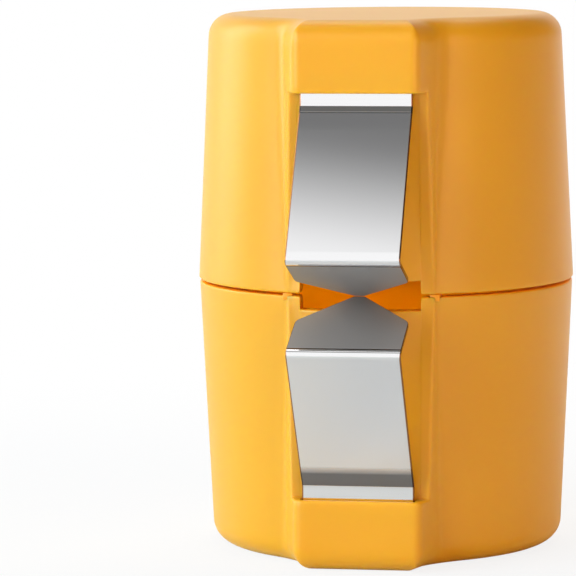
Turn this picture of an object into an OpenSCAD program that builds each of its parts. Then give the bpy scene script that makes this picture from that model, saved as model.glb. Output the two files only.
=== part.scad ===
// Egg shell opener: two mirror-image cups on a living hinge, each with a sprung pointed blade.
// The origin is on the barrel axis at the base. +Z is up and the blades face -Y.

/* [Cups] */
// Outer radius of the cups at their rims
rim_r = 27; // [26:0.5:30]
// How much smaller the outer radius is at the flat end
taper = 1.8; // [1:0.1:3]
// Height of one cup from its flat end to its rim
cup_h = 37.95; // [35:0.05:44]
// Parting gap between the two rims
rim_gap = 0.4; // [0.3:0.1:0.8]
// Thickness of the round wall
wall = 2.7; // [2.5:0.1:4]
// Thickness of the flat end
end_wall = 2.5; // [2:0.1:4]
// Rounding of the flat end's outer edge
end_fillet = 3.2; // [2:0.1:4]
// Rounding at the bottom of the egg hollow
hollow_fillet = 2.5; // [1:0.1:4]

/* [Blade block] */
// How far the block's flat front stands out past the rim
block_proud = 3; // [2.5:0.1:5]
// Width of the block's front before its corners are rounded
block_w = 17.5; // [16.9:0.1:20]
// Height of the block from the flat end to the shelf that holds the blade
block_h = 10; // [8:0.5:13]
// Lean of the block's side faces in degrees
block_lean = 18; // [10:1:25]
// Rounding of the block's upright front corners
block_corner = 1.3; // [0.5:0.1:2]
// Rounding of the block's front edge at the flat end
block_edge = 3; // [0.5:0.1:3]

/* [Blade slot and pocket] */
// Thickness of the block's wall in front of the blade
slot_wall = 1.2; // [1:0.1:1.6]
// Open gap behind the blade's root, down to the pocket floor
slot_back = 1; // [0.6:0.1:1.4]
// Clearance beside and in front of the blade at the slot's mouth
slot_clear = 0.2; // [0.1:0.05:0.4]
// Depth of the slot's wide mouth
slot_mouth = 1.5; // [1:0.1:2]
// Clearance round the tang in the tight part of the slot, and at the seat of its bend
tang_fit = 0.03; // [0.02:0.01:0.08]
// How far the tang goes into the block
tang_depth = 6.5; // [5:0.1:7]
// Depth that the pocket floor cuts into the barrel at the rim
pocket_cut = 2; // [1.2:0.1:2.2]

/* [Tip window] */
// Depth of the window cut into each rim
window_depth = 1.85; // [1.6:0.05:3]
// Gap between the blade's edge and the side of the window
window_side = 0.65; // [0.4:0.05:0.7]

/* [Blades] */
// Width of the steel strip
blade_w = 15.7; // [14:0.1:16]
// Thickness of the steel strip
blade_t = 0.6; // [0.4:0.05:0.8]
// Length of straight root that shows below the shelf
root_show = 1.95; // [1:0.05:3]
// How far the crease stands out beyond the root
crease_out = 13.7; // [10:0.1:16]
// Height of the crease from the parting plane
crease_rise = 6.2; // [5:0.1:9]
// Inner radius of the bend at the crease
crease_r = 0.6; // [0.3:0.05:1]
// Distance of the resting tip from the pocket floor at the rim
tip_standoff = 1.1; // [0.6:0.1:2]
// Gap between the two resting tips
tip_gap = 0.16; // [0.1:0.02:0.6]
// Length of the plate's pointed part
point_len = 7.6; // [6:0.1:9]
// Width of the blunt tip
tip_w = 1.4; // [0.6:0.1:3]

/* [Hinge] */
// Reach of the hinge lugs behind the rim
lug_reach = 4.2; // [3:0.1:6]
// Width of the lugs and of the film that joins them
lug_w = 13; // [8:0.5:16]
// Thickness of a lug at the film
lug_t = 1.8; // [1.2:0.1:3]
// Thickness of a lug where it meets the barrel
lug_root = 4; // [3:0.1:6]
// Radius of the hollow corners beside a lug
lug_fillet = 4; // [2:0.5:5]
// Distance of the fold line behind the lugs
film_reach = 0.6; // [0.4:0.1:1]
// Thickness of the hinge film
film_t = 0.35; // [0.25:0.05:0.5]
// Room inside the folded film, beyond half the rim gap
film_room = 0.15; // [0.05:0.05:0.4]

/* [Nibs] */
// Width of each nib on the lower rim
nib_w = 1.4; // [1:0.1:1.8]
// Clearance between a nib and the upper rim
nib_clear = 0.05; // [0.03:0.01:0.1]

/* [Hidden] */
$fn = 128;
arc_steps = 8;
over = 1;
body_colour = "#f5b335";
steel_colour = "#c9cbcd";

// Radii and heights of a cup, drawn from its flat end upwards
lean = atan2(taper, cup_h);
end_r = rim_r - taper;
hollow_rim_r = rim_r - wall;
hollow_end_r = hollow_rim_r - (cup_h - end_wall) * tan(lean);
mid_z = cup_h + rim_gap / 2;

// Distances from the barrel axis towards the front
block_front = rim_r + block_proud;
root_p = block_front - slot_wall - slot_clear - blade_t / 2;
pocket_shelf_p = root_p - blade_t / 2 - slot_back;
pocket_rim_p = rim_r - pocket_cut;
tip_p = pocket_rim_p + tip_standoff;

// Blade: two straight runs, given by the middle of the strip at the root, the crease and the tip
half_t = blade_t / 2;
tip_rise = (tip_gap + blade_t) / 2;
root = [-root_p, block_h + root_show];
crease = [-root_p - crease_out, mid_z - crease_rise];
tip = [-tip_p, mid_z - tip_rise];
leaf_angle = atan2(root[0] - crease[0], crease[1] - root[1]);
plate_angle = atan2(tip[1] - crease[1], tip[0] - crease[0]);
plate_len = norm(tip - crease);

// Hinge: the fold line lies behind the lugs on the parting plane
lug_end = rim_r + lug_reach;
fold = [lug_end + film_reach, mid_z];
film_r = rim_gap / 2 + film_room;

// Where the edge of the pocket floor meets the rim
ridge_x = block_w / 2 + (block_front - pocket_rim_p) * tan(block_lean);

function arc(centre, r, from, to) =
    [for (i = [0:arc_steps])
        let (a = from + (to - from) * i / arc_steps)
        centre + r * [cos(a), sin(a)]];

function flip_x(points) =
    [for (i = [len(points) - 1:-1:0]) [-points[i][0], points[i][1]]];

// Centre of an end rounding that is tangent to a flat end and to the leaning side that leaves it at r
function end_centre(r, z, fillet) = [r - fillet * (1 - sin(lean)) / cos(lean), z + fillet];

// Turns a part of the lower half over, onto the upper half
module upper() {
    translate([0, 0, 2 * mid_z]) mirror([0, 0, 1]) children();
}

// Extrudes an outline of Y and Z evenly to both sides along X
module across(width) {
    translate([-width / 2, 0, 0]) rotate([90, 0, 90]) linear_extrude(width) children();
}

// Solid tapered barrel with a rounded flat end
module barrel() {
    rotate_extrude()
        polygon(concat(
            [[0, 0]],
            arc(end_centre(end_r, 0, end_fillet), end_fillet, -90, -lean),
            [[rim_r, cup_h], [0, cup_h]]));
}

// Hollow that holds half of the egg
module hollow() {
    rotate_extrude()
        polygon(concat(
            [[0, end_wall]],
            arc(end_centre(hollow_end_r, end_wall, hollow_fillet), hollow_fillet, -90, -lean),
            [[hollow_rim_r + over * tan(lean), cup_h + over], [0, cup_h + over]]));
}

// Block on the front, with leaning sides and rounded corners, run on to the rim to carry the pocket
module block() {
    half = block_w / 2;
    back = 0.65 * (end_r - end_fillet);
    corner_x = half - block_corner / tan(45 + block_lean / 2);
    side = concat(
        arc([corner_x, block_corner - block_front], block_corner, -90, -block_lean),
        [[half + (block_front - back) * tan(block_lean), -back]]);
    intersection() {
        linear_extrude(cup_h) polygon(concat(side, flip_x(side)));
        across(2 * rim_r)
            polygon(concat(
                [[-back, 0], [-back, cup_h], [-block_front, cup_h]],
                arc([block_edge - block_front, block_edge], block_edge, 180, 270)));
    }
}

// Room in front of the sloping pocket floor, from the shelf to the rim
module pocket() {
    slope = (pocket_shelf_p - pocket_rim_p) / (cup_h - block_h);
    across(2 * rim_r)
        polygon([
            [-pocket_shelf_p, block_h],
            [slope * over - pocket_rim_p, cup_h + over],
            [-block_front - over, cup_h + over],
            [-block_front - over, block_h]]);
}

// Slot for the tang: a wide mouth at the shelf over a tight part
module slot() {
    mouth_front = root_p + half_t + slot_clear;
    mouth_w = blade_w + 2 * slot_clear;
    tight_t = blade_t + 2 * tang_fit;
    tight_w = blade_w + 2 * tang_fit;
    translate([-mouth_w / 2, -mouth_front, block_h - slot_mouth])
        cube([mouth_w, mouth_front - pocket_shelf_p, slot_mouth + over]);
    translate([-tight_w / 2, -root_p - tight_t / 2, block_h - tang_depth - tang_fit])
        cube([tight_w, tight_t, tang_depth + over]);
}

// Half of the window that the blade tips pass through
module window() {
    width = blade_w + 2 * window_side;
    translate([-width / 2, -rim_r, cup_h - window_depth])
        cube([width, rim_r / 2, window_depth + over]);
}

// Hinge lug, flared into the barrel in plan and thicker at its root
module lug() {
    reach = rim_r + lug_fillet;
    centre_x = lug_w / 2 + lug_fillet;
    centre_y = sqrt(reach * reach - centre_x * centre_x);
    meet = atan2(centre_y, centre_x);
    inner = 0.6 * hollow_rim_r;
    side = concat(
        [[lug_w / 2, lug_end]],
        arc([centre_x, centre_y], lug_fillet, 180, 180 + meet),
        [inner * [cos(meet), sin(meet)]]);
    intersection() {
        linear_extrude(cup_h) polygon(concat(flip_x(side), side));
        across(2 * rim_r)
            polygon([
                [0, cup_h],
                [0, cup_h - lug_root],
                [end_r, cup_h - lug_root],
                [lug_end, cup_h - lug_t],
                [lug_end, cup_h]]);
    }
}

module cup() {
    difference() {
        union() {
            barrel();
            block();
            lug();
        }
        hollow();
        pocket();
        slot();
        window();
    }
}

// Nibs that stand on the lower rim at both edges of the pocket and keep the rims apart
module nibs() {
    for (side = [-1, 1])
        intersection() {
            translate([side * ridge_x - nib_w / 2, -pocket_rim_p, cup_h - over])
                cube([nib_w, rim_r / 2, over + rim_gap - nib_clear]);
            difference() {
                cylinder(h = 2 * cup_h, r = rim_r - nib_clear);
                cylinder(h = 2 * cup_h, r = hollow_rim_r + nib_clear);
            }
        }
}

// Straight root of a blade, ending in a round seat at the bend
module tang() {
    difference() {
        translate([-blade_w / 2, -root_p - half_t, block_h - tang_depth])
            cube([blade_w, blade_t, tang_depth + root_show]);
        translate([0, root[0], root[1]]) rotate([0, 90, 0])
            cylinder(h = blade_w + 2 * over, r = half_t + tang_fit, center = true);
    }
}

// Outline of the leaf and the tip plate, with a round bend at the crease between them
module bent_strip() {
    across_leaf = [cos(leaf_angle), sin(leaf_angle)];
    across_plate = [sin(plate_angle), -cos(plate_angle)];
    setback = (crease_r + half_t) * tan((90 + leaf_angle - plate_angle) / 2);
    bend = crease + setback * [sin(leaf_angle), -cos(leaf_angle)] + (crease_r + half_t) * across_leaf;
    from = 180 + leaf_angle;
    to = 90 + plate_angle;
    polygon(concat(
        [root + half_t * across_leaf],
        arc(bend, crease_r, from, to),
        [tip + half_t * across_plate, tip - half_t * across_plate],
        arc(bend, crease_r + blade_t, to, from),
        [root - half_t * across_leaf]));
    translate(root) circle(r = half_t);
}

// Sprung blade from its root bend to its point
module blade() {
    difference() {
        across(blade_w) bent_strip();
        translate([0, crease[0], crease[1]]) rotate([plate_angle, 0, 0])
            for (side = [0, 1]) mirror([side, 0, 0])
                translate([0, 0, -blade_t]) linear_extrude(2 * blade_t)
                    polygon([
                        [blade_w / 2, plate_len - point_len],
                        [tip_w / 2, plate_len],
                        [tip_w / 2, plate_len + over],
                        [blade_w / 2 + over, plate_len + over],
                        [blade_w / 2 + over, plate_len - point_len]]);
    }
}

module lower_cup() {
    color(body_colour) {
        cup();
        nibs();
    }
}

module upper_cup() {
    color(body_colour) upper() cup();
}

// Film folded round the hinge line, from the end of one lug to the end of the other
module hinge_web() {
    color(body_colour) across(lug_w)
        polygon(concat(
            [[lug_end, mid_z - film_r - film_t]],
            arc(fold, film_r + film_t, -90, 90),
            [[lug_end, mid_z + film_r + film_t], [lug_end, mid_z + film_r]],
            arc(fold, film_r, 90, -90),
            [[lug_end, mid_z - film_r]]));
}

module lower_blade() {
    color(steel_colour) blade();
}

module lower_blade_tang() {
    color(steel_colour) tang();
}

module upper_blade() {
    color(steel_colour) upper() blade();
}

module upper_blade_tang() {
    color(steel_colour) upper() tang();
}

lower_cup();
upper_cup();
hinge_web();
lower_blade();
lower_blade_tang();
upper_blade();
upper_blade_tang();
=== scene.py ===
import math

import bmesh
import bpy
from mathutils import Matrix, Vector


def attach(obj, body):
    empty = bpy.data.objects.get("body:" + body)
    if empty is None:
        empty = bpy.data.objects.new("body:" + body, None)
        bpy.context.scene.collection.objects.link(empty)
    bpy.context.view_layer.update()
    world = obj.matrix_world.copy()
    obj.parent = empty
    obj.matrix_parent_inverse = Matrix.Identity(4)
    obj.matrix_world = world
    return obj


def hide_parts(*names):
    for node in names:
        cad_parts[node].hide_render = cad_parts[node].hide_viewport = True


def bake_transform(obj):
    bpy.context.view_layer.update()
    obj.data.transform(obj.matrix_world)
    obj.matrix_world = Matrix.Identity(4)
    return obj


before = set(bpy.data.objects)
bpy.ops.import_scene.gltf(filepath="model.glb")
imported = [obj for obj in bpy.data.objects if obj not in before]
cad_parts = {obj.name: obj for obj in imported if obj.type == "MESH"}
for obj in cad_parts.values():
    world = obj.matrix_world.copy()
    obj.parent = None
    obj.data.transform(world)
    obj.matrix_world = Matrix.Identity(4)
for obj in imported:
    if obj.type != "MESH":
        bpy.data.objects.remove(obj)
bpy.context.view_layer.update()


# Camera: stands a little to the right of the blades and a little above the parting line, over half a metre
# away, with a long lens. It is turned aside, so that the opener stands right of the middle of the picture.
azimuth, elevation, roll = math.radians(8.09), math.radians(5.947), math.radians(-0.257)
distance, target_z = 573.1, 38.15
picture_px, focal_px, sensor_mm = 576, 3960.3, 36.0
aim_right_px, aim_down_px = 98.1, 11.1


def turned(a, b, angle):
    """Two axes at right angles, turned in their own plane, the first towards the second."""
    return a * math.cos(angle) + b * math.sin(angle), b * math.cos(angle) - a * math.sin(angle)


back = Vector((math.sin(azimuth) * math.cos(elevation),
               -math.cos(azimuth) * math.cos(elevation),
               math.sin(elevation)))
ahead = -back
right = ahead.cross(Vector((0, 0, 1))).normalized()
up = right.cross(ahead)
right, ahead = turned(right, ahead, math.atan(aim_right_px / focal_px))
ahead, up = turned(ahead, up, math.atan(-aim_down_px / focal_px))
right, up = turned(right, up, roll)
camera_data = bpy.data.cameras.new("camera")
camera_data.sensor_width = sensor_mm
camera_data.lens = sensor_mm * focal_px / picture_px
camera_data.clip_start, camera_data.clip_end = 0.05, 20.0
camera = bpy.data.objects.new("camera", camera_data)
place = back * distance + Vector((0, 0, target_z))
camera.matrix_world = Matrix((
    (right.x, up.x, -ahead.x, place.x / 1000),
    (right.y, up.y, -ahead.y, place.y / 1000),
    (right.z, up.z, -ahead.z, place.z / 1000),
    (0, 0, 0, 1)))
bpy.context.scene.collection.objects.link(camera)
bpy.context.scene.camera = camera


# Cups: two halves of one polypropylene moulding, joined by its film hinge. Each is a tapered pot with a block
# on its front that holds a blade, a sloping pocket behind the blade, half of a window in the rim, and a lug
# at the back. It is drawn as rings of points from the flat end up to the rim, and then down the inside.

# In millimetres: P runs to the front from the barrel's axis, and H and DEEP run along the axis
MID = 38.15
RIM_R, LOWER_RIM_R, CUP_H, TAPER, WALL, END_WALL = 27.0, 26.87, 37.95, 1.8, 2.7, 2.5
END_FILLET, END_FLAT_IN, HOLLOW_FILLET = 3.2, 0.6, 2.5
BLOCK_FRONT, BLOCK_H, BLOCK_HALF, BLOCK_LEAN_DEG = 30.0, 10.0, 8.75, 18
BLOCK_CORNER, SHELF_EDGE, RIM_EDGE = 0.95, 0.35, 0.28
SLOT_FRONT, SLOT_BACK, SLOT_HALF, SLOT_DEEP = 29.4, 27.0, 8.05, 2.5
FLOOR_SHELF, FLOOR_RIM, RIDGE_EDGE = 27.0, 25.0, 0.32
CORNER_SHELF, CORNER_RIM = 0.9, 0.15
WINDOW_HALF, WINDOW_DEEP = 8.5, 1.85
LUG_HALF, LUG_END, LUG_ROOT, LUG_T = 6.5, 31.2, 4.0, 1.8
LUG_EDGE, LUG_FILLET, LUG_FILLET_GROWTH = 0.35, 4.0, 1.15
SIDE_X, SIDE_P = math.cos(math.radians(BLOCK_LEAN_DEG)), math.sin(math.radians(BLOCK_LEAN_DEG))
SIDE_D = BLOCK_HALF * SIDE_X + BLOCK_FRONT * SIDE_P
LEAN = math.atan2(TAPER, CUP_H)
# The block and the pocket lie further to the front than this, and the lug further to the back
MIDDLE_P = 10
# The materials' places on a cup
SATIN, THIN_WALL, RIM, NIB = range(4)


def round_join(a, b, radius):
    """Distance to two shapes put together, with a hollow corner of that radius between them."""
    if radius < 1e-4:
        return min(a, b)
    return max(radius, min(a, b)) - math.hypot(max(radius - a, 0), max(radius - b, 0))


def round_cut(a, b, radius):
    """Distance to what two shapes share, with a rounded edge of that radius."""
    return min(-radius, max(a, b)) + math.hypot(max(radius + a, 0), max(radius + b, 0))


def wall_distance(x, p, ring):
    """Distance of a point in plan from the outline of one ring."""
    x = abs(x)
    body = math.hypot(x, p) - ring["r"]
    if p > MIDDLE_P:
        side = x * SIDE_X + p * SIDE_P - SIDE_D
        front = round_cut(p - ring["pad"], side, RIDGE_EDGE)
        if ring["block"]:
            front = min(front, round_cut(p - ring["block"], side + ring["shelf"], BLOCK_CORNER))
        body = round_join(body, front, ring["corner"])
    if p < -MIDDLE_P and ring["lug"] > ring["r"]:
        lug = round_cut(x - LUG_HALF, -p - ring["lug"], LUG_EDGE)
        body = round_join(body, lug, min(LUG_FILLET, LUG_FILLET_GROWTH * (ring["lug"] - ring["r"])))
    return body


def reach(base_x, dir_x, dir_p, ring):
    """Where a line in plan, from the barrel's middle outwards, leaves the moulding. Found by halving."""
    near, far, halvings = 12.0, 36.0, 26
    for _ in range(halvings):
        middle = (near + far) / 2
        if wall_distance(base_x + dir_x * middle, dir_p * middle, ring) < -ring["down"]:
            near = middle
        else:
            far = middle
    return near


def outside_ring(z, rim_r=RIM_R, down=0.0, shelf=0.0):
    """One ring's sizes at height z.

    r is the barrel's radius, pad the pocket floor, block the block's front and lug the hinge lug's end.
    corner is the hollow corner's radius between ridge and barrel. down and shelf are what a rounding takes
    off the whole ring and off the block."""
    round_top = END_FILLET * (1 - math.sin(LEAN))
    r = rim_r - (CUP_H - max(z, round_top)) * math.tan(LEAN)
    if z < round_top:
        centre = rim_r - TAPER - round_top / math.cos(LEAN)
        down += r - centre - math.sqrt(END_FILLET ** 2 - (END_FILLET - z) ** 2)
    rise = max(z - BLOCK_H, 0) / (CUP_H - BLOCK_H)
    lug = RIM_R - TAPER + (z - CUP_H + LUG_ROOT) * (LUG_END - RIM_R + TAPER) / (LUG_ROOT - LUG_T)
    return {"z": z, "r": r, "down": down, "shelf": shelf,
            "block": BLOCK_FRONT - shelf if z <= BLOCK_H else 0,
            "pad": FLOOR_SHELF + (FLOOR_RIM - FLOOR_SHELF) * rise,
            "corner": CORNER_SHELF + (CORNER_RIM - CORNER_SHELF) * rise,
            "lug": min(lug, LUG_END) if z > CUP_H - LUG_ROOT else 0}


# Columns with a fixed X carry the slot and the window, and the window's drop is given for each. The others
# turn about the barrel's middle: shares of the way to the ridge and through the hollow corner, then even
# steps between two angles from the front, then angles from the back that lie close together at the lug.
FIXED_X = [0, 1.4, 2.8, 4.2, 5.5, 6.6, 7.4, 7.8, SLOT_HALF - 0.01, SLOT_HALF, 8.3,
           WINDOW_HALF - 0.06, WINDOW_HALF - 0.01, WINDOW_HALF, WINDOW_HALF + 0.06, BLOCK_HALF]
WINDOW_DROP = [1] * 11 + [0.97, 0.85, 0.12, 0.03, 0]
TO_RIDGE = [0.14, 0.28, 0.42, 0.56, 0.68, 0.78, 0.86, 0.92, 0.97, 1.0]
TO_CORNER = [0.05, 0.13, 0.3, 0.5, 0.75, 1.0]
TO_EVEN = [0.15, 0.4, 0.7, 1.0]
EVEN_FROM, EVEN_TO, EVEN_STEPS = 32, 156, 50
LUG_ANGLES = [24, 22, 20, 18.2, 16.8, 15.6, 14.5, 13.5, 12.7, 12.25, 12.0, 11.75, 11.4, 10.8, 9.5, 7, 3.5, 0]
CORNER_STEPS, INSIDE_STEPS, LEAST_STEP_DEG = 9, 29, 0.3
# Share of the way from block to corner at which the ridge's columns run out in the rounding of the flat end
RIDGE_SHARE_AT_END = 0.38


def round_to(points, angles, reach_of):
    """Adds the points at the given angles from the front, in degrees, to those of the fixed columns."""
    even = [EVEN_FROM + (EVEN_TO - EVEN_FROM) * k / EVEN_STEPS for k in range(1, EVEN_STEPS)]
    for angle in angles + even + [180 - a for a in LUG_ANGLES]:
        s, c = math.sin(math.radians(angle)), math.cos(math.radians(angle))
        t = reach_of(s, c)
        points.append((t * s, t * c))
    return points


def outside_columns(ring):
    """Points of half a ring in plan, from the middle of the front to the middle of the back."""
    side, front = SIDE_D - ring["down"], BLOCK_FRONT - ring["down"]
    at_end = ring["z"] < END_FILLET
    narrow = (side - front * SIDE_P) / SIDE_X / BLOCK_HALF if at_end else 1.0
    points = [(x * narrow, reach(x * narrow, 0, 1, ring)) for x in FIXED_X]
    start = math.degrees(math.atan2(*points[-1]))
    # Angles of the ridge, and of both ends of the hollow corner: on the block's side and on the barrel
    corner_x = SIDE_D + ring["corner"]
    corner_p = math.sqrt(max((ring["r"] + ring["corner"]) ** 2 - corner_x ** 2, 0))
    barrel = 90 - BLOCK_LEAN_DEG - math.degrees(math.atan(corner_p / corner_x))
    corner = 90 - BLOCK_LEAN_DEG - math.degrees(math.atan(corner_p / side))
    ridge = math.degrees(math.atan((side / (ring["pad"] - ring["down"]) - SIDE_P) / SIDE_X))
    if at_end:
        ridge = start + RIDGE_SHARE_AT_END * (corner - start)
    corner = max(corner, ridge + LEAST_STEP_DEG)
    barrel = max(barrel, corner + LEAST_STEP_DEG)
    angles = [start + (ridge - start) * t for t in TO_RIDGE]
    angles += [ridge + (corner - ridge) * t for t in TO_CORNER]
    angles += [corner + (barrel - corner) * k / CORNER_STEPS for k in range(1, CORNER_STEPS + 1)]
    angles += [barrel + (EVEN_FROM - barrel) * t for t in TO_EVEN]
    return round_to(points, angles, lambda s, c: reach(0, s, c, ring))


def inside_columns(r):
    """Points of half a ring of the hollow in plan, from the middle of the front to the middle of the back."""
    points = [(x, math.sqrt(r * r - x * x)) for x in FIXED_X]
    start = math.degrees(math.atan2(*points[-1]))
    angles = [start + (EVEN_FROM - start) * k / INSIDE_STEPS for k in range(1, INSIDE_STEPS + 1)]
    return round_to(points, angles, lambda s, c: r)


def next_ring(bm, ring, points):
    """Extrudes the open ring of vertices and sets the new one down on the given points."""
    edges = [bm.edges.get(pair) for pair in zip(ring, ring[1:] + ring[:1])]
    grown = bmesh.ops.extrude_edge_only(bm, edges=edges)["geom"]
    made = {v for v in grown if isinstance(v, bmesh.types.BMVert)}
    fresh = [next(e.other_vert(v) for e in v.link_edges if e.other_vert(v) in made) for v in ring]
    for v, co in zip(fresh, points):
        v.co = co
    return fresh


def cup_mesh(rim_r):
    """The lower cup, in millimetres."""
    rings = []

    def lay(points, heights):
        """Adds a ring: the given half, at one height or at one for each point, and its mirror image."""
        if not isinstance(heights, list):
            heights = [heights] * len(points)
        half = [Vector((x, -p, z)) for (x, p), z in zip(points, heights)]
        rings.append(half + [Vector((-v.x, v.y, v.z)) for v in half[-2:0:-1]])

    def arc(degrees):
        return math.cos(math.radians(degrees)), math.sin(math.radians(degrees))

    # Flat end and its rounding, which runs on round the block; then up to the shelf
    lay(outside_columns(outside_ring(0, rim_r, END_FLAT_IN)), 0)
    for a in range(90, 5, -9):
        z = END_FILLET * (1 - arc(a)[1])
        lay(outside_columns(outside_ring(z, rim_r)), z)
    for z in (3.3, 4.2, 6.0, 7.8, 9.0):
        lay(outside_columns(outside_ring(z, rim_r)), z)
    for a in (0, 22.5, 45, 67.5, 90):
        c, s = arc(a)
        z = BLOCK_H - SHELF_EDGE * (1 - s)
        shelf = outside_columns(outside_ring(z, rim_r, 0, SHELF_EDGE * (1 - c)))
        lay(shelf, z)
    # The shelf, and in it the mouth of the blade's slot
    low, high = BLOCK_H + 0.1, CUP_H - RIM_EDGE
    foot = outside_columns(outside_ring(low, rim_r))
    slot_columns = sum(x < SLOT_HALF for x in FIXED_X)
    slot_rings = ((SLOT_FRONT, 0), (SLOT_FRONT, SLOT_DEEP), (SLOT_BACK, SLOT_DEEP), (SLOT_BACK, 0))
    for k, (p, deep) in enumerate(slot_rings, 1):
        moved, heights = [], []
        for i, ((x, out), (foot_x, foot_p)) in enumerate(zip(shelf, foot)):
            if i < slot_columns:
                share, z = (out - p) / (out - FLOOR_SHELF), BLOCK_H - deep
            elif out > FLOOR_SHELF + 0.02:
                share, z = k / 4, BLOCK_H
            else:
                share, z = k / 5, BLOCK_H + (low - BLOCK_H) * k / 5
            moved.append((x + (foot_x - x) * share, out + (foot_p - out) * share))
            heights.append(z)
        lay(moved, heights)
    # The pocket, the ridges beside it and the barrel, up to the rounded rim
    top = [CUP_H - WINDOW_DEEP * drop for drop in WINDOW_DROP] + [CUP_H] * (len(foot) - len(WINDOW_DROP))
    for z in (low, 10.6, 12, 15, 19, 23, 27, 30.5, 33, 34.3, 34.6, 34.9, 35.3, 35.7, 36.05, 36.2, 36.7, 37.2,
              high):
        share = (z - low) / (high - low)
        lay(outside_columns(outside_ring(z, rim_r)), [low + share * (t - RIM_EDGE - low) for t in top])
    for a in (22.5, 45, 67.5, 90):
        c, s = arc(a)
        points = outside_columns(outside_ring(CUP_H, rim_r, RIM_EDGE * (1 - c)))
        lay(points, [t - RIM_EDGE * (1 - s) for t in top])
    outer = len(rings)
    # The inside: rounded rim, tapered wall, rounded bottom
    inner_rim = RIM_R - WALL
    for a in (90, 60, 30, 0):
        c, s = arc(a)
        lay(inside_columns(inner_rim + RIM_EDGE * (1 - c)), [t - RIM_EDGE * (1 - s) for t in top])
    low = END_WALL + HOLLOW_FILLET * (1 - math.sin(LEAN))
    for share in (0.94, 0.85, 0.7, 0.5, 0.3, 0.1, 0):
        z = low + (high - low) * share
        r = inner_rim - (CUP_H - z) * math.tan(LEAN)
        lay(inside_columns(r), [low + share * (t - RIM_EDGE - low) for t in top])
    fillet_r = (inner_rim - (CUP_H - END_WALL) * math.tan(LEAN)
                - HOLLOW_FILLET * (1 - math.sin(LEAN)) / math.cos(LEAN))
    for a in (15, 30, 45, 60, 75, 90):
        c, s = arc(a)
        lay(inside_columns(fillet_r + HOLLOW_FILLET * c), END_WALL + HOLLOW_FILLET * (1 - s))

    bm = bmesh.new()
    loop = bmesh.ops.create_circle(bm, cap_ends=True, segments=len(rings[0]), radius=RIM_R)["verts"]
    for v, co in zip(loop, rings[0]):
        v.co = co
    # The rim's plastic goes from half-way up the outer rounding to the first step of the inner one
    rim_rings = range(outer - 2, outer + 2)
    for k, points in enumerate(rings[1:], 1):
        before = len(bm.faces)
        loop = next_ring(bm, loop, points)
        bm.faces.ensure_lookup_table()
        for face in bm.faces[before:]:
            face.material_index = RIM if k in rim_rings else SATIN if k < outer else THIN_WALL
    inside_end = [bm.edges.get(pair) for pair in zip(loop, loop[1:] + loop[:1])]
    bmesh.ops.contextual_create(bm, geom=inside_end)["faces"][0].material_index = THIN_WALL
    return bm


def put_in_scene(name, bm, crease_degrees=35):
    """Makes a finished mesh an object, in metres, with smooth faces and sharp creases."""
    bmesh.ops.recalc_face_normals(bm, faces=bm.faces)
    bmesh.ops.scale(bm, vec=(0.001, 0.001, 0.001), verts=bm.verts)
    mesh = bpy.data.meshes.new(name)
    bm.to_mesh(mesh)
    bm.free()
    mesh.shade_smooth()
    mesh.set_sharp_from_angle(angle=math.radians(crease_degrees))
    made = bpy.data.objects.new(name, mesh)
    bpy.context.scene.collection.objects.link(made)
    return made


def turn_over(bm):
    """Makes a mesh of the lower half one of the upper half, its mirror image in the parting plane."""
    bmesh.ops.scale(bm, vec=(1, 1, -1), verts=bm.verts)
    bmesh.ops.translate(bm, vec=(0, 0, 2 * MID), verts=bm.verts)


# The lower cup has two nibs on its rim that keep the two rims apart
NIB_SIZE, NIB_X, NIB_P, NIB_MID_Z, NIB_EDGE = (1.4, 2.6, 0.95), 10.3, 23.55, 37.825, 0.12
bm = cup_mesh(LOWER_RIM_R)
for side in (-1, 1):
    made = bmesh.ops.create_cube(bm, size=1)["verts"]
    bmesh.ops.scale(bm, vec=NIB_SIZE, verts=made)
    bmesh.ops.translate(bm, vec=(side * NIB_X, -NIB_P, NIB_MID_Z), verts=made)
    for face in {f for v in made for f in v.link_faces}:
        face.material_index = NIB
    edges = list({e for v in made for e in v.link_edges})
    bmesh.ops.bevel(bm, geom=edges, offset=NIB_EDGE, segments=2, affect="EDGES", profile=0.5, material=-1)
lower_cup = put_in_scene("lower_cup_moulding", bm)
bm = cup_mesh(RIM_R)
turn_over(bm)
upper_cup = put_in_scene("upper_cup_moulding", bm)


def linear(hex_colour):
    """sRGB hex to linear values."""
    parts = [int(hex_colour[i:i + 2], 16) / 255 for i in (1, 3, 5)]
    return tuple(c / 12.92 if c <= 0.04045 else ((c + 0.055) / 1.055) ** 2.4 for c in parts) + (1.0,)


def add(tree, kind, inputs=(), links=(), **settings):
    """Adds a node with its settings, its socket values and its incoming links."""
    node = tree.nodes.new(kind)
    for key, value in settings.items():
        setattr(node, key, value)
    for key, value in dict(inputs).items():
        node.inputs[key].default_value = value
    for key, socket in dict(links).items():
        tree.links.new(socket, node.inputs[key])
    return node


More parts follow.
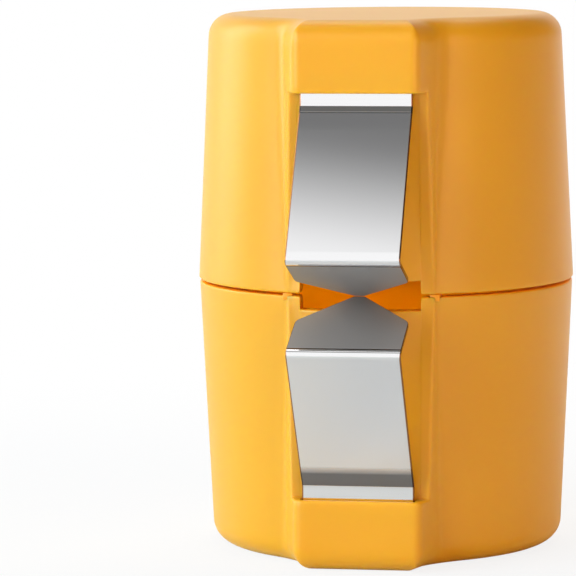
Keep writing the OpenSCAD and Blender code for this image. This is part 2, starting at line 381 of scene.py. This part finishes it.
# Polypropylene, injection-moulded against a finely blasted tool: satin, slightly waxy, a warm yellow-orange.
# Light goes furthest into the thin wall round the hollow, which glows in the window, and less far into the
# rims. The nibs are so small that light inside them would lose its red and turn them olive, so none goes in.
# The thin wall and the rims also take a brighter, redder colour than the outside. This is painted light that
# adds to the glow in the window and along its edges. The nibs take a lighter colour, painted light in place
# of the light that does not go in.
# The tool's grain is drawn 0.24 mm wide, coarser than it is, to show. The tint's clouds are 17 mm wide.
plastics = []
for name, dark, light, weight, radius, scale in (
        ("polypropylene_moulded_satin", "#DEA616", "#E1AC1A", 0.6, (1.0, 0.7, 0.3), 0.0018),
        ("polypropylene_moulded_thin_wall", "#F79B14", "#FAA01A", 1.0, (1.0, 0.9, 0.4), 0.010),
        ("polypropylene_moulded_rim", "#FBA214", "#FEA61A", 1.0, (1.0, 0.8, 0.4), 0.003),
        ("polypropylene_moulded_nib", "#F0A016", "#F3A61A", 0.0, (1.0, 0.7, 0.3), 0.0018)):
    plastic = bpy.data.materials.new(name)
    plastic.use_nodes = True
    tree = plastic.node_tree
    shader = tree.nodes["Principled BSDF"]
    place = add(tree, "ShaderNodeTexCoord").outputs["Object"]
    cloud = add(tree, "ShaderNodeTexNoise", {"Scale": 60.0, "Detail": 3.0}, {"Vector": place})
    tint = add(tree, "ShaderNodeMixRGB", {"Color1": linear(dark), "Color2": linear(light)},
               {"Fac": cloud.outputs["Fac"]})
    tree.links.new(tint.outputs["Color"], shader.inputs["Base Color"])
    grain = add(tree, "ShaderNodeTexNoise", {"Scale": 4200.0, "Detail": 2.0}, {"Vector": place})
    bump = add(tree, "ShaderNodeBump", {"Strength": 0.12, "Distance": 0.00004},
               {"Height": grain.outputs["Fac"]})
    tree.links.new(bump.outputs["Normal"], shader.inputs["Normal"])
    shader.inputs["Roughness"].default_value = 0.36
    shader.inputs["IOR"].default_value = 1.49
    shader.inputs["Subsurface Weight"].default_value = weight
    shader.inputs["Subsurface Radius"].default_value = radius
    shader.inputs["Subsurface Scale"].default_value = scale
    plastics.append(plastic)

for cup, body, used in ((lower_cup, "lower", plastics), (upper_cup, "upper", plastics[:NIB])):
    for plastic in used:
        cup.data.materials.append(plastic)
    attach(cup, body)
    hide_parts(body + "_cup")


# Hinge film: a thin web of the same moulding, left between the two lugs and folded as the opener is closed.
# It is a strip drawn along its middle, from inside one lug round the fold into the other.
FILM_INNER, FILM_T, FILM_HALF, FILM_IN_LUG, FOLD_P = 0.35, 0.35, 6.45, 0.25, 31.8
FOLD_R = FILM_INNER + FILM_T / 2
stops = [(LUG_END - FILM_IN_LUG, MID - FOLD_R), (FOLD_P, MID - FOLD_R)]
stops += [(FOLD_P + FOLD_R * math.cos(math.radians(a)), MID + FOLD_R * math.sin(math.radians(a)))
          for a in range(-80, 81, 10)]
stops += [(FOLD_P, MID + FOLD_R), (LUG_END - FILM_IN_LUG, MID + FOLD_R)]
bm = bmesh.new()
strip = [bm.edges.new([bm.verts.new((x, *stops[0])) for x in (-FILM_HALF, FILM_HALF)])]
for y, z in stops[1:]:
    grown = bmesh.ops.extrude_edge_only(bm, edges=strip)["geom"]
    strip = [e for e in grown if isinstance(e, bmesh.types.BMEdge)]
    for v in (v for v in grown if isinstance(v, bmesh.types.BMVert)):
        v.co.y, v.co.z = y, z
hinge_film = put_in_scene("hinge_film", bm, 60)
thick = hinge_film.modifiers.new("film", "SOLIDIFY")
thick.thickness, thick.offset, thick.use_even_offset = FILM_T / 1000, 0, True
hinge_film.data.materials.append(plastics[SATIN])
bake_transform(hinge_film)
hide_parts("hinge_web")


# Blades: strips of hard-rolled stainless spring steel. Each is bent out of its slot, creased and brought back
# to a point that rests in the window. A finger on the crease springs the point into the shell. ROOT, CREASE
# and TIP are the places, in front of the axis and above the base, of the lower blade's bends and its point.
BLADE_HALF, BLADE_T, BLADE_EDGE, TANG_END = 7.85, 0.6, 0.2, 3.6
ROOT, CREASE, TIP = (28.3, 11.95), (41.80, 31.95), (26.1, 37.87)
ROOT_BEND, CREASE_BEND, BEND_STEPS, BOW = 0.32, 0.77, 10, 0.15
POINT_LEN, SHOULDER_ROUND, TIP_HALF, TIP_ROUND = 7.6, 0.7, 0.7, 0.25
# The plate is what lies above this height and behind this P, past the crease's bend. It has a ground border,
# which takes the edge material as a painted dark outline, plain on the lower plate.
PLATE_Z, PLATE_P, PLATE_BORDER = CREASE[1] + 0.1, 41.17, 0.3
# How much of its rounding an edge gets, along the leaf and round the plate
LEAF_EDGE, PLATE_EDGE = 1.0, 0.45
# Heights of the rows across the strip, which bound the roughness and the painted shade, and carry the
# spring's bend and the bow
ROWS = (12.6, 12.75, 12.9, 14.0, 15.2, 30.7, 32.55)
# Roughness of the plate, and a short fade of painted shade past the upper blade's painted dark band
PLATE_DULL, PAINTED_FADE_BAND, PAINTED_FADE_SHADE = 0.7, (12.1, 12.8), 0.76


def blade_mesh(plate_painted_shade, painted_root_band, root_painted_shade):
    """The lower blade's middle sheet, in millimetres, with each part's dullness and painted shade."""
    bm = bmesh.new()
    edge = [bm.edges.new([bm.verts.new((x, -ROOT[0], TANG_END)) for x in (-BLADE_HALF, BLADE_HALF)])]
    for p, z in (ROOT, CREASE, TIP):
        grown = bmesh.ops.extrude_edge_only(bm, edges=edge)["geom"]
        edge = [e for e in grown if isinstance(e, bmesh.types.BMEdge) and all(v in grown for v in e.verts)]
        for v in (v for v in grown if isinstance(v, bmesh.types.BMVert)):
            v.co.y, v.co.z = -p, z
    # The point: both corners of the plate are cut off at a slant, and the cut's ends are rounded
    tip, crease = (Vector((0, -p, z)) for p, z in (TIP, CREASE))
    along = (tip - crease).normalized()
    normal = along.cross(Vector((1, 0, 0)))
    for side in (-1, 1):
        a = tip + Vector((side * TIP_HALF, 0, 0))
        b = tip - along * POINT_LEN + Vector((side * BLADE_HALF, 0, 0))
        out = (b - a).cross(normal).normalized()
        if out.x * side < 0:
            out = -out
        plate = [f for f in bm.faces if all(v.co.z >= CREASE[1] - 0.01 for v in f.verts)]
        geom = plate + list({e for f in plate for e in f.edges}) + list({v for f in plate for v in f.verts})
        bmesh.ops.bisect_plane(bm, geom=geom, dist=1e-5, plane_co=a, plane_no=out, clear_outer=True)
    shoulders = [v for v in bm.verts if abs(abs(v.co.x) - BLADE_HALF) < 0.01 and v.co.z > CREASE[1] + 0.5]
    bmesh.ops.bevel(bm, geom=shoulders, offset=SHOULDER_ROUND, segments=5, affect="VERTICES", profile=0.5,
                    material=-1)
    tips = [v for v in bm.verts if abs(abs(v.co.x) - TIP_HALF) < 0.05 and v.co.z > TIP[1] - 0.5]
    bmesh.ops.bevel(bm, geom=tips, offset=TIP_ROUND, segments=3, affect="VERTICES", profile=0.5, material=-1)
    # Both bends are rounded, and rows are cut across the strip
    for z, offset in ((ROOT[1], ROOT_BEND), (CREASE[1], CREASE_BEND)):
        bend = [e for e in bm.edges if all(abs(v.co.z - z) < 1e-4 for v in e.verts)]
        bmesh.ops.bevel(bm, geom=bend, offset=offset, segments=BEND_STEPS, affect="EDGES", profile=0.5,
                        material=-1)
    for z in ROWS:
        bmesh.ops.bisect_plane(bm, geom=bm.verts[:] + bm.edges[:] + bm.faces[:], dist=1e-5,
                               plane_co=(0, 0, z), plane_no=(0, 0, 1))

    def on_plate(v):
        return v.co.z > PLATE_Z and v.co.y > -PLATE_P

    # The ground border of the plate, which carries a painted dark outline, and how wide the edges are rounded
    plate = [f for f in bm.faces if all(on_plate(v) for v in f.verts)]
    border = bmesh.ops.inset_region(bm, faces=plate, thickness=PLATE_BORDER, use_even_offset=True)["faces"]
    for f in border:
        f.material_index = 1
    rounding = bm.edges.layers.float.new("bevel_weight_edge")
    for e in (e for e in bm.edges if e.is_boundary):
        e[rounding] = PLATE_EDGE if min(v.co.z for v in e.verts) > CREASE[1] - 0.3 else LEAF_EDGE
    # Roughness and painted shade of each part, and the leaf's slight bow
    dull, painted_shade = (bm.verts.layers.float.new(name) for name in ("dull", "painted_shade"))
    out = Vector((0, ROOT[1] - CREASE[1], ROOT[0] - CREASE[0])).normalized()
    for v in bm.verts:
        if on_plate(v):
            v[dull], v[painted_shade] = PLATE_DULL, plate_painted_shade
            continue
        # The band above the root bend is matt and painted dark. Past it, a little painted shade fades out
        if painted_root_band[0] < v.co.z < painted_root_band[1]:
            v[dull], v[painted_shade] = 1.0, root_painted_shade
        elif PAINTED_FADE_BAND[0] < v.co.z < PAINTED_FADE_BAND[1]:
            v[painted_shade] = PAINTED_FADE_SHADE
        t = (v.co.z - ROOT[1]) / (CREASE[1] - ROOT[1])
        if 0 < t < 1:
            v.co += out * BOW * 4 * t * (1 - t)
    return bm


def steel(name, light, dark):
    """A bare stainless steel whose colour goes from light to dark with the shade painted on the mesh."""
    made = bpy.data.materials.new(name)
    made.use_nodes = True
    tree = made.node_tree
    shader = tree.nodes["Principled BSDF"]
    painted_shade = add(tree, "ShaderNodeAttribute", attribute_name="painted_shade")
    colour = add(tree, "ShaderNodeMixRGB", {"Color1": linear(light), "Color2": linear(dark)},
                 {"Fac": painted_shade.outputs["Fac"]})
    tree.links.new(colour.outputs["Color"], shader.inputs["Base Color"])
    shader.inputs["Metallic"].default_value = 1.0
    return made, tree, shader


# Stainless steel, rolled and mirror polished, with the faintest draw lines along the strip, 0.4 mm apart. The
# plate that carries the point is matt from the grinding of its edges, and it is painted a darker grey as
# painted shade, darker on the lower blade. A band above each root bend is matt and painted dark. On the lower
# blade this is a painted reflection of the shaded floor in front of the block. On the upper blade it is
# painted shade over the shelf's reflection.
blade_steel, tree, shader = steel("stainless_steel_mirror_polished", "#F6F6F7", "#6C7275")
place = add(tree, "ShaderNodeTexCoord")
stretch = add(tree, "ShaderNodeMapping", {"Scale": (2600.0, 60.0, 60.0)}, {"Vector": place.outputs["Object"]})
lines = add(tree, "ShaderNodeTexNoise", {"Scale": 1.0, "Detail": 2.0}, {"Vector": stretch.outputs["Vector"]})
bump = add(tree, "ShaderNodeBump", {"Strength": 0.02, "Distance": 0.00002}, {"Height": lines.outputs["Fac"]})
tree.links.new(bump.outputs["Normal"], shader.inputs["Normal"])
matt = add(tree, "ShaderNodeAttribute", attribute_name="dull")
finish = add(tree, "ShaderNodeMapRange", {"To Min": 0.08, "To Max": 0.95}, {"Value": matt.outputs["Fac"]})
tree.links.new(finish.outputs["Result"], shader.inputs["Roughness"])

# Stainless steel on the strip's edges, fairly smooth, with a painted colour. Along the leaf it is brown: a
# painted reflection of the plastic and painted shade for the dark line beside the blade. Round the ground
# point it is nearly black, a painted dark outline.
edge_painted_shade, tree, shader = steel("stainless_steel_edge_painted_shade", "#94683E", "#30302F")
shader.inputs["Roughness"].default_value = 0.25

# Per blade: the plate's painted shade, which is darker on the lower blade because its plate takes more light
# from above, and the band above the root bend that is painted dark, with its painted shade
for half, plate_painted_shade, painted_root_band, root_painted_shade in (
        ("lower", 0.78, (12.1, 14.1), 0.86), ("upper", 0.65, (11.8, 12.65), 0.96)):
    bm = blade_mesh(plate_painted_shade, painted_root_band, root_painted_shade)
    if half == "upper":
        turn_over(bm)
    blade = put_in_scene(half + "_blade_strip", bm, 50)
    thick = blade.modifiers.new("strip", "SOLIDIFY")
    thick.thickness, thick.offset, thick.use_even_offset = BLADE_T / 1000, 0, True
    # The sides and the rounded edges take the edge material, whose brown and dark are painted reflection and
    # shade
    thick.material_offset_rim = 1
    edge = blade.modifiers.new("edges", "BEVEL")
    edge.width, edge.segments, edge.limit_method = BLADE_EDGE / 1000, 3, "WEIGHT"
    edge.harden_normals, edge.material = True, 1
    blade.data.materials.append(blade_steel)
    blade.data.materials.append(edge_painted_shade)
    if half == "lower":
        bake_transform(blade)
    else:
        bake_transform(blade)
    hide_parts(half + "_blade", half + "_blade_tang")


# Floor: a plain paper sweep that keeps the opener's shadow. To the camera it is mostly its own white at the
# opener, and all white from 0.2 m off. In reflections it is paper at the opener and white from 0.5 m off.
FLOOR_HALF = 4000
bm = bmesh.new()
bmesh.ops.create_grid(bm, x_segments=1, y_segments=1, size=FLOOR_HALF)
floor = put_in_scene("floor", bm)
floor_paint = bpy.data.materials.new("paper_sweep_matt_white")
floor_paint.use_nodes = True
tree = floor_paint.node_tree
shader = tree.nodes["Principled BSDF"]
shader.inputs["Roughness"].default_value = 0.9
shader.inputs["Specular IOR Level"].default_value = 0.1
rays = add(tree, "ShaderNodeLightPath")
paper = add(tree, "ShaderNodeMixRGB", {"Color1": linear("#DCEAF3"), "Color2": linear("#DCEDFF")},
            {"Fac": rays.outputs["Is Camera Ray"]})
tree.links.new(paper.outputs["Color"], shader.inputs["Base Color"])
mirrored = add(tree, "ShaderNodeMath", {},
               {0: rays.outputs["Is Glossy Ray"], 1: rays.outputs["Is Transmission Ray"]},
               operation="ADD", use_clamp=True)
place = add(tree, "ShaderNodeTexCoord")
far = add(tree, "ShaderNodeVectorMath", {}, {0: place.outputs["Object"]}, operation="LENGTH")
near_white = add(tree, "ShaderNodeMapRange",
                 {"From Min": 0.05, "From Max": 0.2, "To Min": 0.84, "To Max": 1.0},
                 {"Value": far.outputs["Value"]}, interpolation_type="SMOOTHSTEP")
far_white = add(tree, "ShaderNodeMapRange",
                {"From Min": 0.06, "From Max": 0.5, "To Min": 0.0, "To Max": 1.0},
                {"Value": far.outputs["Value"]}, interpolation_type="SMOOTHSTEP")
seen = add(tree, "ShaderNodeMath", {}, {0: rays.outputs["Is Camera Ray"], 1: near_white.outputs["Result"]},
           operation="MULTIPLY")
share = add(tree, "ShaderNodeMath", {},
            {0: mirrored.outputs[0], 1: far_white.outputs["Result"], 2: seen.outputs[0]},
            operation="MULTIPLY_ADD")
white = add(tree, "ShaderNodeEmission", {"Color": (1, 1, 1, 1), "Strength": 1.0})
both = add(tree, "ShaderNodeMixShader", {},
           {0: share.outputs[0], 1: shader.outputs["BSDF"], 2: white.outputs["Emission"]})
tree.links.new(both.outputs["Shader"], tree.nodes["Material Output"].inputs["Surface"])
floor.data.materials.append(floor_paint)


# Studio: a white room that lights little and is seen by the camera and in the steel. High on the camera's
# side its ceiling is darker, for the gradient on the upper leaf. A flag, seen in reflections alone, darkens
# the right but for straight behind and overhead. The light comes from five soft lamps.
world = bpy.data.worlds.new("studio")
bpy.context.scene.world = world
world.use_nodes = True
tree = world.node_tree
fill = tree.nodes["Background"]
fill.inputs["Color"].default_value = (1, 1, 1, 1)
fill.inputs["Strength"].default_value = 0.1
rays = add(tree, "ShaderNodeLightPath")
seen = add(tree, "ShaderNodeMath", {}, {0: rays.outputs["Is Camera Ray"], 1: rays.outputs["Is Glossy Ray"]},
           operation="ADD")
seen = add(tree, "ShaderNodeMath", {}, {0: seen.outputs[0], 1: rays.outputs["Is Transmission Ray"]},
           operation="ADD", use_clamp=True)
place = add(tree, "ShaderNodeTexCoord")
way = add(tree, "ShaderNodeSeparateXYZ", {}, {0: place.outputs["Generated"]})
ceiling = add(tree, "ShaderNodeMapRange",
              {"From Min": 0.8635, "From Max": 0.8925, "To Min": 1.0, "To Max": 0.18},
              {"Value": way.outputs["Z"]})
behind = add(tree, "ShaderNodeMapRange", {"From Min": -0.38, "From Max": -0.1}, {"Value": way.outputs["Y"]},
             interpolation_type="SMOOTHSTEP")
ceiling = add(tree, "ShaderNodeMath", {}, {0: ceiling.outputs["Result"], 1: behind.outputs["Result"]},
              operation="MAXIMUM")
flag = rays.outputs["Is Glossy Ray"]
for axis, start, end, at_start, at_end in (
        ("X", 0.0, 0.35, 0.0, 0.9), ("Y", 0.85, 0.98, 1.0, 0.0), ("Z", 0.7, 0.98, 1.0, 0.0)):
    side = add(tree, "ShaderNodeMapRange",
               {"From Min": start, "From Max": end, "To Min": at_start, "To Max": at_end},
               {"Value": way.outputs[axis]}, interpolation_type="SMOOTHSTEP")
    share = add(tree, "ShaderNodeMath", {}, {0: flag, 1: side.outputs["Result"]}, operation="MULTIPLY")
    flag = share.outputs[0]
wall = add(tree, "ShaderNodeMath", {0: 1.0}, {1: flag}, operation="SUBTRACT")
wall = add(tree, "ShaderNodeMath", {}, {0: ceiling.outputs[0], 1: wall.outputs[0]}, operation="MULTIPLY")
room = add(tree, "ShaderNodeBackground", {"Color": (1, 1, 1, 1)}, {"Strength": wall.outputs[0]})
both = add(tree, "ShaderNodeMixShader", {},
           {0: seen.outputs[0], 1: fill.outputs["Background"], 2: room.outputs["Background"]})
tree.links.new(both.outputs["Shader"], tree.nodes["World Output"].inputs["Surface"])


def lamp(name, size, azimuth_deg, elevation_deg, radiance, colour="#FFFFFF", mirrored=True):
    """A soft rectangular studio lamp that faces the opener. Azimuth runs to the right from the front."""
    metres, aim = 1.2, Vector((0, 0, 0.04))
    a, e = math.radians(azimuth_deg), math.radians(elevation_deg)
    way = Vector((math.sin(a) * math.cos(e), -math.cos(a) * math.cos(e), math.sin(e)))
    data = bpy.data.lights.new(name, "AREA")
    data.shape, data.size, data.size_y = "RECTANGLE", size[0], size[1]
    data.energy = radiance * math.pi * size[0] * size[1]
    data.color = linear(colour)[:3]
    made = bpy.data.objects.new(name, data)
    made.location = way * metres + aim
    made.rotation_euler = (-way).to_track_quat("-Z", "Y").to_euler()
    made.visible_glossy = mirrored
    bpy.context.scene.collection.objects.link(made)


lamp("key_left", (0.9, 1.1), -46, 20, 5.05)
lamp("edge_left", (0.6, 1.2), -106, 15, 3.2)
lamp("fill_right", (0.6, 1.0), 44, 6, 5.9, "#FFC289")
lamp("back_top", (0.8, 0.5), 180, 60, 1.6)
lamp("backdrop", (1.6, 0.65), 180, 14, 6.8, "#FFDDB0", mirrored=False)

bpy.context.scene.view_settings.view_transform = "Standard"
